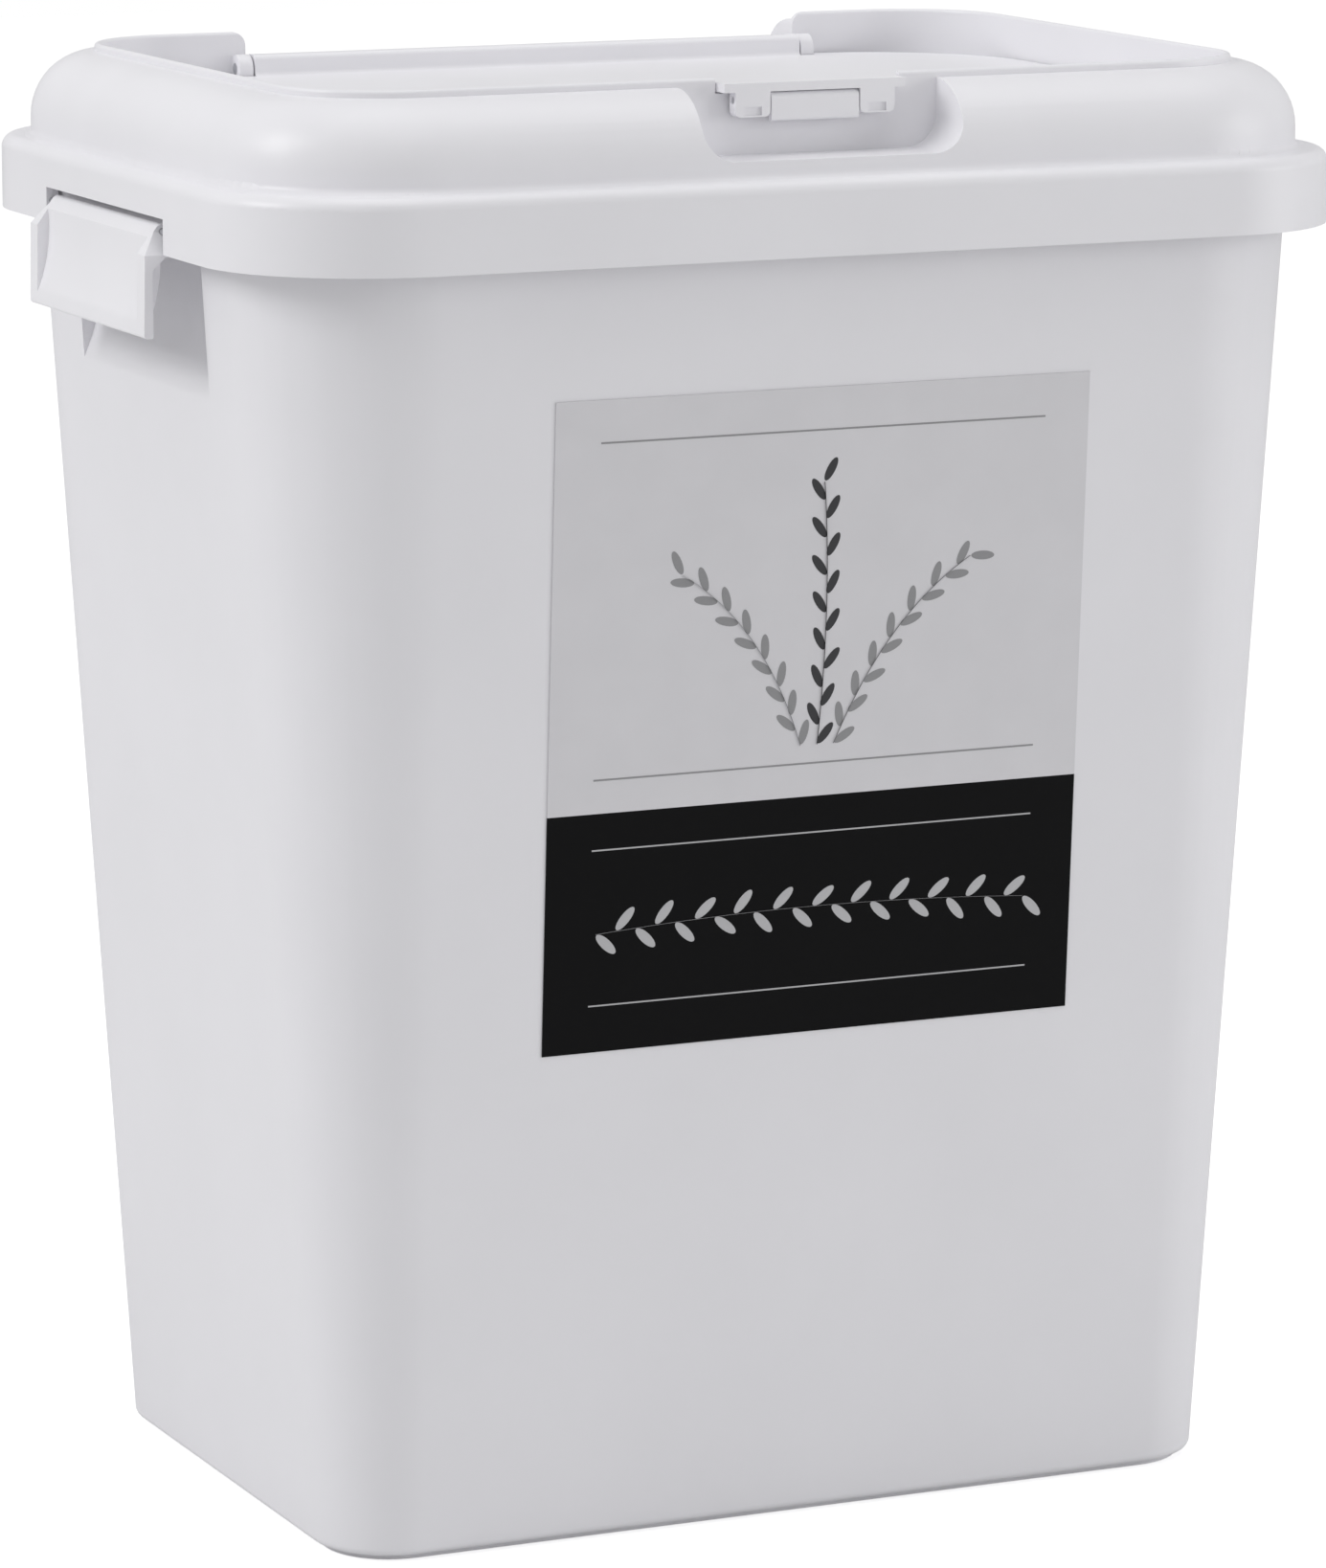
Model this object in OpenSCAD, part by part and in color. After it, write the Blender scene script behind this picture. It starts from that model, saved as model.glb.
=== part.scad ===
// Rice bin with a flip lid: a drafted bucket, a snap-on lid frame with a deep
// dome, and a flip lid that lies in a recess in the top of the frame.
// X runs across the front, Y runs from the front to the back, Z is up.
// The origin is in the middle of the base, on the floor.

/* [Lid frame] */
// Width over the skirt of the lid
lid_w = 400; // [340:1:480]
// Depth over the skirt of the lid
lid_d = 296; // [250:1:350]
// Corner radius of the skirt
skirt_r = 56; // [48:1:60]
// Height of the skirt
skirt_h = 25; // [24:1:34]
// Convex edge radius along the top of the skirt
skirt_edge_r = 4.5; // [2:0.5:5]
// How far the foot of the dome stands in from the skirt
step_w = 7.5; // [7:0.5:10]
// Corner radius at the foot of the dome
dome_r = 58; // [54:1:62]
// Height of the dome above the step
dome_h = 28.5; // [27:0.5:36]
// Radius of the shoulder of the dome
shoulder_r = 22; // [18:1:25]
// Height of the raised lip above the dome
lip_h = 2.5; // [1.5:0.5:4]
// Wall thickness of the lid frame
lid_t = 2.5; // [2:0.1:3]
// Width of the ledge under the flip lid
ledge_w = 15.5; // [14:0.5:20]

/* [Bucket] */
// Height of the bucket from the floor to the top of its rim
body_h = 450; // [360:1:560]
// How far the bucket wall stands in from the skirt, at the rim
body_inset = 10; // [9:0.1:12]
// Corner radius of the bucket at the rim
body_r = 55; // [48:1:58]
// Draft of the bucket walls, in degrees
draft = 3.5; // [2:0.1:3.6]
// Wall thickness of the bucket
body_t = 2.5; // [2:0.1:3]
// How far the rim flange stands out of the wall
rim_out = 4.2; // [3.8:0.1:4.4]
// Height of the turned-down edge of the rim
rim_h = 16; // [14:0.5:17]
// Height of the foot ring under the base
foot_h = 2; // [1:0.5:4]

/* [Finger scoops] */
// Length of the scoop in each side wall
scoop_l = 120; // [112:1:130]
// Height of the scoop below the skirt
scoop_h = 45; // [40:1:60]
// Depth of the scoop at its top
scoop_depth = 12; // [8:0.5:14]

/* [Label] */
// Width of the label on the front wall
label_w = 192; // [150:1:200]
// Height of the label
label_h = 217; // [160:1:230]
// How far the upper edge of the label lies below the rim
label_drop = 64; // [40:1:120]
// Thickness of the label
label_t = 0.4; // [0.3:0.05:0.5]

/* [Flip lid] */
// Depth of the recess, from the top of the lip to the flip lid
recess_depth = 14.8; // [13:0.1:15]
// Thickness of the flip lid panel
flip_t = 2.5; // [2:0.1:2.8]
// Thickness of the seals
seal_t = 2.5; // [2:0.1:3]
// Gap between the flip lid and the recess wall
flip_gap = 0.8; // [0.6:0.1:1.2]
// Corner radius of the flip lid on the hinge side, which lets it swing past the lip
flip_back_r = 60; // [58:1:64]
// Corner radius of the mouth under the flip lid
mouth_r = 44; // [40:1:50]
// How far the seal of the flip lid lies outside the mouth
seal_out = 2.9; // [2.6:0.1:3.6]
// Width of the seal of the flip lid
seal_w = 4; // [3:0.1:4.5]

/* [Flip lid hinge] */
// Width of the gap in the back lip that holds the hinge
hinge_gap_w = 210; // [180:1:230]
// Outer radius of the hinge barrel
barrel_r = 5; // [4.5:0.1:5.2]
// Radius of the upper front edge of the hinge bar
bar_edge_r = 2; // [1.5:0.1:2.5]
// Radius of the blend between the hinge bar and the flip lid
bar_fillet_r = 1.5; // [0.8:0.1:2]
// Diameter of a hinge pin
hinge_pin_d = 4; // [3:0.1:4.4]
// Length of a hinge pin
hinge_pin_l = 17; // [14:1:24]
// Thickness of a hinge lug
lug_t = 5; // [4:0.5:6]

/* [Front latch] */
// Width of the finger pocket in the front of the dome
pocket_w = 93; // [84:1:110]
// Corner radius of the pocket
pocket_r = 11; // [6:1:12]
// Width of the gap in the front lip
bridge_w = 66; // [62:1:72]
// Width over the two ears
ears_w = 57; // [54:1:60]
// Width of the latch plate
latch_w = 31.4; // [28:0.1:34]
// Height of the latch plate below its pin
latch_h = 7; // [6:0.5:8]
// Thickness of the latch plate
latch_t = 2.2; // [1.8:0.1:2.4]
// Diameter of the latch pin
latch_pin_d = 2.5; // [2:0.1:2.8]

/* [Side clips] */
// Length of a side clip
clip_l = 111; // [96:1:112]
// Height of a side clip below its pins
clip_h = 34; // [30:1:38]
// How far a side clip stands out of its pin axis
clip_out = 8.5; // [7.5:0.5:10]
// Radius of the hollow in the face of a side clip
clip_hollow_r = 60; // [50:1:80]
// Thickness of the clip face
clip_t = 2.3; // [2:0.1:2.6]
// Radius of the rolled top edge of a clip
clip_barrel_r = 2.4; // [2.2:0.1:2.5]
// Diameter of a clip pin
clip_pin_d = 2; // [1.6:0.1:2.2]
// Length of a clip pin
clip_pin_l = 14; // [12:0.5:16]
// Gap above the rolled edge of a clip
clip_gap = 2.2; // [1.6:0.1:2.4]
// Depth of the cheek at each end of a clip
cheek_t = 3.2; // [2.6:0.1:4]

/* [Fits] */
// Radial clearance of a pin in the part that turns on it
run_fit = 0.07; // [0.03:0.01:0.1]
// Radial clearance of a pin in the part that holds it
hold_fit = 0.02; // [0.01:0.01:0.04]
// Gap between a hook and the edge that it catches
hook_gap = 0.4; // [0.3:0.1:0.6]

/* [Hidden] */
$fn = 96;
// Overlap used where two shapes are joined
bite = 0.5;
// How far a cut runs past the face that it opens
past = 1;
// Gap beside a piece that swings in a cut
swing_gap = 0.6;
// Gaps under and over a seal, and the play of the seal of the flip lid
seal_low_gap = 0.15;
seal_high_gap = 0.1;
seal_play = 0.2;

// Reference outlines: [width, depth, corner radius]
skirt = [lid_w, lid_d, skirt_r];
dome = [lid_w - 2 * step_w, lid_d - 2 * step_w, dome_r];
body = [lid_w - 2 * body_inset, lid_d - 2 * body_inset, body_r];

// Heights of the lid frame
deck_z = body_h + seal_t;
step_z = deck_z + lid_t;
skirt_z = step_z - skirt_h;
dome_z = step_z + dome_h;
lip_z = dome_z + lip_h;
flip_z = lip_z - recess_depth;
ledge_z = flip_z - flip_t - seal_t - seal_play;

// Insets from the foot of the dome
lip_in = shoulder_r;
recess_wall_t = lid_t - 0.1;
wall_in = lip_in + recess_wall_t;
mouth_in = wall_in + ledge_w;
mouth = [dome[0] - 2 * mouth_in, dome[1] - 2 * mouth_in, mouth_r];

// Front and back faces in the middle of the frame
lip_front_y = -dome[1] / 2 + lip_in;
wall_back_y = dome[1] / 2 - wall_in;

// Lower edge of the label
label_z = body_h - label_drop - label_h;

// Hinge of the flip lid, in front of the recess wall and just above the lid
hinge_in = 2.6;
hinge_rise = 2.2;
hinge_y = wall_back_y - hinge_in;
hinge_z = flip_z + hinge_rise;
hinge_x = hinge_gap_w / 2;

// Front latch: its pin in front of the lip, the pocket under it, the gap in the lip
latch_out = 3.7;
latch_drop = 7;
latch_skin = 1.05;
pocket_drop = 18;
notch_drop = 5;
latch_y = lip_front_y - latch_out;
latch_z = lip_z - latch_drop;
latch_barrel_r = latch_pin_d / 2 + latch_skin;
pocket_z = latch_z - pocket_drop;
notch_z = lip_z - notch_drop;
// Catch on the lip and hook on the latch: set-in from its ends, and how far the
// catch stands out
hook_in = 3;
catch_out = 1.2;

// Side clips: their pins inside the face of the skirt, and the bosses that hold them
clip_in = 2;
clip_drop = 18;
boss_l = 8;
// Depths below the pin axis: of the shoulder of a clip, and of its hook
clip_shoulder = 7;
hook_low = 7;
hook_high = 4.6;
clip_x = lid_w / 2 - clip_in;
clip_z = step_z - clip_drop;
notch_top_z = clip_z + clip_barrel_r + clip_gap;

// Rim of the bucket, and the slope of its walls
slope = tan(draft);
// Depth that everything inside the bucket wall keeps below its outer face
wall_keep = 1.2;
rim_x = body[0] / 2 + rim_out;
rim_low_z = body_h - rim_h;

// Corner centre of an outline
function corner_x(o) = o[0] / 2 - o[2];
function corner_y(o) = o[1] / 2 - o[2];
// An outline moved inwards
function inset(o, i) = [o[0] - 2 * i, o[1] - 2 * i, o[2] - i];

// Carries a profile round an outline. In the profile, x is the distance out
// of the outline and y is the height.
module ring(o) {
    cx = corner_x(o);
    cy = corner_y(o);
    for (turn = [0, 180])
        rotate([0, 0, turn]) {
            // corner, end wall, corner and long wall
            translate([cx, -cy, 0])
                rotate([0, 0, -90])
                    corner(o[2])
                        children();
            translate([cx + o[2], 0, 0])
                straight(2 * cy)
                    children();
            translate([cx, cy, 0])
                corner(o[2])
                    children();
            translate([0, cy + o[2], 0])
                rotate([0, 0, 90])
                    straight(2 * cx)
                        children();
        }
}

// A quarter turn of a profile
module corner(r) {
    rotate_extrude(angle = 90)
        translate([r, 0])
            children();
}

// A straight run of a profile, centred and lying along Y
module straight(length) {
    rotate([90, 0, 0])
        linear_extrude(length, center = true)
            children();
}

// The flat area inside an outline
module area(o) {
    square([o[0] - 2 * o[2], o[1]], center = true);
    square([o[0], o[1] - 2 * o[2]], center = true);
    for (sx = [-1, 1], sy = [-1, 1])
        translate([sx * corner_x(o), sy * corner_y(o)])
            circle(r = o[2]);
}

// A flat plate between an outer and an inner outline
module frame_plate(outer, inner, z, t) {
    translate([0, 0, z])
        linear_extrude(t)
            difference() {
                area(outer);
                area(inner);
            }
}

// A rod along X between two places
module rod_x(r, x0, x1, y, z) {
    translate([x0, y, z])
        rotate([0, 90, 0])
            cylinder(r = r, h = x1 - x0);
}

// A rod along Y between two places
module rod_y(r, y0, y1, x, z) {
    translate([x, y0, z])
        rotate([-90, 0, 0])
            cylinder(r = r, h = y1 - y0);
}

// A box between two opposite corners
module box(a, b) {
    translate(a)
        cube(b - a);
}

// ---------------------------------------------------------------- bucket

// How far the outer face of the wall stands in from the rim at a height
function wall_u(z) = -(body_h - z) * slope;

// Section through the bucket wall, its rim and its foot
module wall_profile() {
    edge_r = 3;
    foot_in = 7;
    foot_t = 2.5;
    flange_t = 3;
    turn_t = 2;
    turn_r = 1;
    low_z = foot_h + edge_r;
    polygon([
        [wall_u(low_z), low_z],
        [0, body_h],
        [-body_t, body_h],
        [wall_u(low_z) - body_t, low_z]
    ]);
    // rounded lower edge
    translate([wall_u(low_z) - edge_r, low_z])
        circle(r = edge_r);
    // foot ring
    translate([wall_u(0) - foot_in, 0])
        square([foot_t, low_z + edge_r]);
    // flange and turned-down edge of the rim
    translate([-past, body_h - flange_t])
        square([rim_out, flange_t]);
    translate([rim_out - turn_t, rim_low_z])
        square([turn_t, rim_h - turn_r]);
    translate([rim_out - turn_r, body_h - turn_r])
        circle(r = turn_r);
}

// The space of a finger scoop on the right-hand side, grown by a wall
module scoop(grow) {
    below_skirt = 2;
    top_z = skirt_z - below_skirt;
    low_x = body[0] / 2 + wall_u(top_z - scoop_h);
    top_x = body[0] / 2 + wall_u(top_z) - scoop_depth;
    reach = low_x - top_x;
    r = (reach * reach + scoop_h * scoop_h) / (2 * reach);
    intersection() {
        rod_y(r + grow, -scoop_l / 2 - grow, scoop_l / 2 + grow, top_x + r, top_z);
        box([0, -scoop_l, top_z - 2 * scoop_h], [lid_w, scoop_l, top_z + grow]);
    }
}

module bucket() {
    floor_t = 3;
    floor_in = past + wall_keep - wall_u(foot_h + floor_t + past);
    color([0.93, 0.93, 0.92])
        difference() {
            union() {
                ring(body)
                    wall_profile();
                // floor
                translate([0, 0, foot_h])
                    linear_extrude(floor_t)
                        area(inset(body, floor_in));
                // walls of the scoops, kept inside the outer face
                intersection() {
                    for (turn = [0, 180])
                        rotate([0, 0, turn])
                            scoop(body_t);
                    drafted_core(wall_keep);
                }
            }
            for (turn = [0, 180])
                rotate([0, 0, turn])
                    scoop(0);
        }
}

// A solid that fills the bucket to within a small inset of its outer face
module drafted_core(margin) {
    side_x = body[0] / 2 + wall_u(skirt_z - 2 * scoop_h);
    rotate([90, 0, 0])
        linear_extrude(2 * scoop_l, center = true)
            polygon([
                [-side_x + margin, skirt_z - 2 * scoop_h],
                [side_x - margin, skirt_z - 2 * scoop_h],
                [body[0] / 2 - margin, body_h],
                [-body[0] / 2 + margin, body_h]
            ]);
}

// A thin sheet on the front wall, sloped with it
module front_label() {
    film_gap = 0.05;
    low = [wall_u(label_z) + film_gap, label_z];
    high = [wall_u(label_z + label_h) + film_gap, label_z + label_h];
    color([0.80, 0.81, 0.82])
        translate([0, -body[1] / 2, 0])
            rotate([0, 0, -90])
                straight(label_w)
                    polygon([low, low + [label_t, 0], high + [label_t, 0], high]);
}

// ------------------------------------------------------------- lid frame

// Section through the skirt, with its rounded upper edge
module skirt_profile() {
    difference() {
        translate([-lid_t, skirt_z])
            square([lid_t, skirt_h]);
        translate([-skirt_edge_r, step_z - skirt_edge_r])
            square(skirt_edge_r + past);
    }
    intersection() {
        translate([-skirt_edge_r, step_z - skirt_edge_r])
            circle(r = skirt_edge_r);
        translate([-skirt_edge_r, step_z - skirt_edge_r])
            square(skirt_edge_r);
    }
}

// Section of the dome as a solid, or without a skin of the given thickness
module dome_profile(skin) {
    arc_z = dome_z - shoulder_r;
    translate([-lip_in, deck_z])
        square([lip_in - skin, arc_z - deck_z]);
    intersection() {
        translate([-lip_in, arc_z])
            circle(r = shoulder_r - skin);
        translate([-lip_in, arc_z])
            square(shoulder_r);
    }
}

// Section of the dome wall, its foot and the raised lip on top
module dome_wall_profile() {
    foot_r = 2.5;
    lip_r = recess_wall_t / 2;
    arc_z = dome_z - shoulder_r;
    translate([-lid_t, deck_z])
        square([lid_t, arc_z - deck_z]);
    intersection() {
        difference() {
            translate([-lip_in, arc_z])
                circle(r = shoulder_r);
            translate([-lip_in, arc_z])
                circle(r = shoulder_r - lid_t);
        }
        translate([-lip_in, arc_z])
            square(shoulder_r + past);
    }
    // fillet between the step and the dome
    difference() {
        translate([-past, step_z - past])
            square(foot_r + past);
        translate([foot_r, step_z + foot_r])
            circle(r = foot_r);
    }
    // recess wall and raised lip, with a rounded top edge
    translate([-wall_in, ledge_z - lid_t])
        square([recess_wall_t, lip_z - ledge_z + lid_t - lip_r]);
    translate([-lip_in - lip_r, lip_z - lip_r])
        circle(r = lip_r);
}

// Front view of the finger pocket, grown by a wall
module pocket_shape(grow) {
    r = pocket_r + grow;
    half = pocket_w / 2 + grow;
    low = pocket_z - grow;
    for (side = [-1, 1])
        translate([side * (half - r), low + r])
            circle(r = r);
    translate([-half + r, low])
        square([2 * (half - r), r]);
    translate([-half, low + r])
        square([2 * half, lip_z - low]);
}

// Front view of the hinge bay, with rounded ridge ends
module bay_shape() {
    end_r = 5;
    above = 2 * lip_z - flip_z;
    translate([-hinge_x, ledge_z])
        square([hinge_gap_w, above - ledge_z]);
    for (side = [-1, 1])
        difference() {
            translate([side * (hinge_x + end_r / 2), lip_z])
                square([end_r, 2 * end_r], center = true);
            translate([side * (hinge_x + end_r), lip_z - end_r])
                circle(r = end_r);
        }
}

// Carries a front view along Y
module along_y(y0, y1) {
    translate([0, y1, 0])
        rotate([90, 0, 0])
            linear_extrude(y1 - y0)
                children();
}

// Walls that close the dome round the finger pocket and the hinge bay
module dome_liners() {
    skin = 0.3;
    liner_h = 12;
    intersection() {
        ring(dome)
            union() {
                dome_profile(skin);
                translate([-wall_in, ledge_z - lid_t])
                    square([wall_in, liner_h]);
            }
        union() {
            along_y(-lid_d / 2, lip_front_y + past)
                pocket_shape(lid_t);
            box([-hinge_x - lid_t, wall_back_y - past, ledge_z - lid_t],
                [hinge_x + lid_t, lid_d / 2, lip_z]);
        }
    }
}

// Wall that closes the back of the finger pocket below the ledge
module pocket_back() {
    lap = 1;
    intersection() {
        along_y(lip_front_y, lip_front_y + recess_wall_t)
            pocket_shape(lid_t);
        box([-pocket_w, -lid_d, pocket_z - lid_t], [pocket_w, 0, ledge_z - lap]);
    }
}

// Lugs that hold the pins of the flip lid
module hinge_lugs() {
    arm_low = 1;
    for (side = [-1, 1])
        mirror([side < 0 ? 1 : 0, 0, 0]) {
            rod_x(barrel_r, hinge_x, hinge_x + lug_t, hinge_y, hinge_z);
            box([hinge_x, hinge_y - barrel_r, ledge_z - bite],
                [hinge_x + lug_t, hinge_y + barrel_r, hinge_z]);
            // arm from the lug to the recess wall
            box([hinge_x, hinge_y, hinge_z - arm_low],
                [hinge_x + lug_t, wall_back_y + past, hinge_z + barrel_r - arm_low]);
        }
}

// Blocks behind the skirt that hold the pins of the side clips
module clip_bosses() {
    end_gap = 0.8;
    inner = 2.4;
    outer = 0.9;
    below = 4;
    above = 5;
    for (turn = [0, 180], side = [-1, 1])
        rotate([0, 0, turn])
            translate([0, side * (clip_l / 2 + end_gap + boss_l / 2), 0])
                box([clip_x - inner, -boss_l / 2, clip_z - below],
                    [clip_x + outer, boss_l / 2, clip_z + above]);
}

module lid_frame() {
    deck_lap = 0.2;
    plug_in = 5.8;
    plug_t = 2.2;
    plug_h = 10;
    bead_w = 2;
    bead_h = 1.4;
    notch_in = 3;
    bore_end = clip_l / 2 + boss_l + 2;
    color([0.94, 0.94, 0.93])
        difference() {
            union() {
                ring(skirt)
                    skirt_profile();
                frame_plate(inset(skirt, skirt_edge_r - deck_lap), inset(body, plug_in),
                    deck_z, lid_t);
                // rib that plugs into the bucket
                ring(body)
                    translate([-plug_in, body_h - plug_h])
                        square([plug_t, plug_h + seal_t + past]);
                ring(dome)
                    dome_wall_profile();
                // ledge and the bead round the mouth
                frame_plate(inset(dome, lip_in + past), mouth, ledge_z - lid_t, lid_t);
                frame_plate(inset(mouth, -bead_w), mouth, ledge_z - past, bead_h + past);
                dome_liners();
                pocket_back();
                hinge_lugs();
                clip_bosses();
            }
            // finger pocket, and the gap in the front lip above it
            along_y(-lid_d, lip_front_y)
                pocket_shape(0);
            box([-bridge_w / 2, lip_front_y - past, notch_z],
                [bridge_w / 2, lip_front_y + 2 * lid_t, lip_z + past]);
            // hinge bay, open to the back
            along_y(wall_back_y - past, lid_d / 2)
                bay_shape();
            // notches for the side clips
            for (turn = [0, 180])
                rotate([0, 0, turn])
                    box([clip_x - notch_in, -clip_l / 2 - swing_gap, skirt_z - past],
                        [lid_w, clip_l / 2 + swing_gap, notch_top_z]);
            // bores for the pins
            rod_x(hinge_pin_d / 2 + hold_fit, -hinge_x - lug_t - past,
                hinge_x + lug_t + past, hinge_y, hinge_z);
            for (side = [-1, 1])
                rod_y(clip_pin_d / 2 + hold_fit, -bore_end, bore_end, side * clip_x, clip_z);
        }
    // catch for the front latch
    catch_low = 4.4;
    catch_high = 2.6;
    color([0.94, 0.94, 0.93])
        box([-latch_w / 2 + hook_in, lip_front_y - catch_out, latch_z - catch_low],
            [latch_w / 2 - hook_in, lip_front_y + bite, latch_z - catch_high]);
}

// Seal between the deck of the lid frame and the rim of the bucket
module rim_seal() {
    outer = 2.6;
    inner = 2.4;
    color([0.75, 0.76, 0.77])
        frame_plate(inset(body, -outer), inset(body, inner), body_h + seal_low_gap,
            seal_t - seal_low_gap - seal_high_gap);
}

// -------------------------------------------------------------- flip lid

// Flat front of the hinge bar, rounded above and blended into the lid below
module hinge_bar(half) {
    face_y = hinge_y - barrel_r;
    top_z = hinge_z + barrel_r;
    under_z = flip_z - flip_t;
    box([-half, face_y, under_z], [half, hinge_y, top_z - bar_edge_r]);
    box([-half, face_y + bar_edge_r, under_z], [half, hinge_y, top_z]);
    rod_x(bar_edge_r, -half, half, face_y + bar_edge_r, top_z - bar_edge_r);
    difference() {
        box([-half, face_y - bar_fillet_r, flip_z - bite],
            [half, face_y + bite, flip_z + bar_fillet_r]);
        rod_x(bar_fillet_r, -half - past, half + past, face_y - bar_fillet_r,
            flip_z + bar_fillet_r);
    }
}

// An ear of the front latch, with a square recess in its face
module latch_ear() {
    latch_gap = 0.4;
    lip_gap = 1.4;
    foot_rise = 1.5;
    r = 2;
    square_in = 3;
    square_depth = 0.9;
    square_low = 5;
    square_high = 2.2;
    inner_x = latch_w / 2 + latch_gap;
    outer_x = ears_w / 2;
    face_y = latch_y - latch_barrel_r;
    back_y = lip_front_y - lip_gap;
    ear_z = latch_z - latch_h + foot_rise;
    difference() {
        union() {
            box([inner_x, face_y, ear_z + r], [outer_x, back_y, notch_z + past]);
            box([inner_x + r, face_y, ear_z], [outer_x - r, back_y, notch_z]);
            for (x = [inner_x + r, outer_x - r])
                translate([x, back_y, ear_z + r])
                    rotate([90, 0, 0])
                        cylinder(r = r, h = back_y - face_y);
        }
        box([inner_x + square_in, face_y - past, latch_z - square_low],
            [outer_x - square_in, face_y + square_depth, latch_z - square_high]);
    }
}

// Outline of the flip lid, with wider corners on the hinge side
module flip_outline(edge) {
    half = edge[1] / 2;
    intersection() {
        area(edge);
        translate([-edge[0] / 2, -half])
            square([edge[0], half + past]);
    }
    intersection() {
        area([edge[0], edge[1], flip_back_r]);
        translate([-edge[0] / 2, 0])
            square([edge[0], half]);
    }
}

module flip_lid() {
    edge = inset(dome, wall_in + flip_gap);
    under_z = flip_z - flip_t;
    bridge_x = bridge_w / 2 - swing_gap;
    bridge_low_z = notch_z + 0.6;
    bridge_high_z = notch_z + 3.5;
    riser_y = -edge[1] / 2;
    riser_t = 3.2;
    bar_half = hinge_x - swing_gap;
    pin_room = 0.5;
    color([0.90, 0.91, 0.91])
        difference() {
            union() {
                difference() {
                    translate([0, 0, under_z])
                        linear_extrude(flip_t)
                            flip_outline(edge);
                    // room for the hinge lugs
                    for (side = [-1, 1])
                        translate([side * (hinge_x + lug_t / 2), 0, 0])
                            box([-lug_t / 2 - swing_gap, hinge_y - barrel_r - swing_gap,
                                under_z - past], [lug_t / 2 + swing_gap, lid_d / 2,
                                flip_z + past]);
                }
                // barrel of the hinge and the bar in front of it
                rod_x(barrel_r, -bar_half, bar_half, hinge_y, hinge_z);
                hinge_bar(bar_half);
                // riser and bridge over the front lip
                box([-bridge_x, riser_y, under_z],
                    [bridge_x, riser_y + riser_t, bridge_high_z]);
                box([-bridge_x, latch_y - latch_barrel_r, bridge_low_z],
                    [bridge_x, riser_y + riser_t, bridge_high_z]);
                latch_ear();
                mirror([1, 0, 0])
                    latch_ear();
            }
            // bores for the hinge pins and the latch pin
            for (side = [-1, 1])
                mirror([side < 0 ? 1 : 0, 0, 0])
                    rod_x(hinge_pin_d / 2 + run_fit,
                        hinge_x + lug_t - hinge_pin_l - pin_room, hinge_x, hinge_y, hinge_z);
            rod_x(latch_pin_d / 2 + hold_fit, -ears_w, ears_w, latch_y, latch_z);
        }
}

// Seal under the edge of the flip lid
module flip_seal() {
    color([0.75, 0.76, 0.77])
        frame_plate(inset(mouth, -seal_out - seal_w), inset(mouth, -seal_out),
            ledge_z + seal_low_gap, seal_t + seal_play - seal_low_gap - seal_high_gap);
}

module hinge_pin_right() {
    color([0.62, 0.63, 0.65])
        rod_x(hinge_pin_d / 2, hinge_x + lug_t - hinge_pin_l, hinge_x + lug_t,
            hinge_y, hinge_z);
}

module hinge_pin_left() {
    mirror([1, 0, 0])
        hinge_pin_right();
}

// ----------------------------------------------------------- front latch

module front_latch() {
    tip_r = 1;
    hook_t = 2;
    face_y = latch_y - latch_barrel_r;
    half = latch_w / 2;
    low_z = latch_z - latch_h;
    color([0.90, 0.90, 0.90])
        difference() {
            union() {
                rod_x(latch_barrel_r, -half, half, latch_y, latch_z);
                box([-half, face_y, low_z + tip_r], [half, face_y + latch_t, latch_z]);
                rod_x(tip_r, -half, half, face_y + tip_r, low_z + tip_r);
                box([-half, face_y + tip_r, low_z],
                    [half, face_y + latch_t, low_z + tip_r]);
                // hook
                box([-half + hook_in, face_y + latch_t - bite, low_z],
                    [half - hook_in, lip_front_y - catch_out - hook_gap, low_z + hook_t]);
            }
            rod_x(latch_pin_d / 2 + run_fit, -latch_w, latch_w, latch_y, latch_z);
        }
}

module latch_pin() {
    half = ears_w / 2 - 0.5;
    color([0.62, 0.63, 0.65])
        rod_x(latch_pin_d / 2, -half, half, latch_y, latch_z);
}

// ------------------------------------------------------------ side clips

// Section through the outer form of a clip, from the pin axis outwards
module clip_section() {
    root_angle = 34;
    root = [clip_barrel_r * cos(root_angle), clip_barrel_r * sin(root_angle)];
    lean = 0.5;
    tip_r = 1.2;
    tip_t = 3;
    back = [0.8, -9];
    circle(r = clip_barrel_r);
    polygon([
        root,
        [clip_out - lean, -clip_shoulder],
        [clip_out, -clip_h + tip_r],
        [clip_out - tip_r, -clip_h],
        [clip_out - tip_t, -clip_h],
        back,
        -root
    ]);
    translate([clip_out - tip_r, -clip_h + tip_r])
        circle(r = tip_r);
}

// Space behind a cheek of a clip, below the rolled edge
module cheek_relief() {
    behind = -4;
    top = -7.9;
    corner_x = 0.9;
    slope_end = -12;
    inner = clip_out - cheek_t;
    polygon([
        [behind, top], [corner_x, top], [inner, slope_end],
        [inner, -clip_h - past], [behind, -clip_h - past]
    ]);
}

// Carries a section of the clip along Y, at the place of the right clip
module along_clip(half) {
    translate([clip_x, half, clip_z])
        rotate([90, 0, 0])
            linear_extrude(2 * half)
                children();
}

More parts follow.
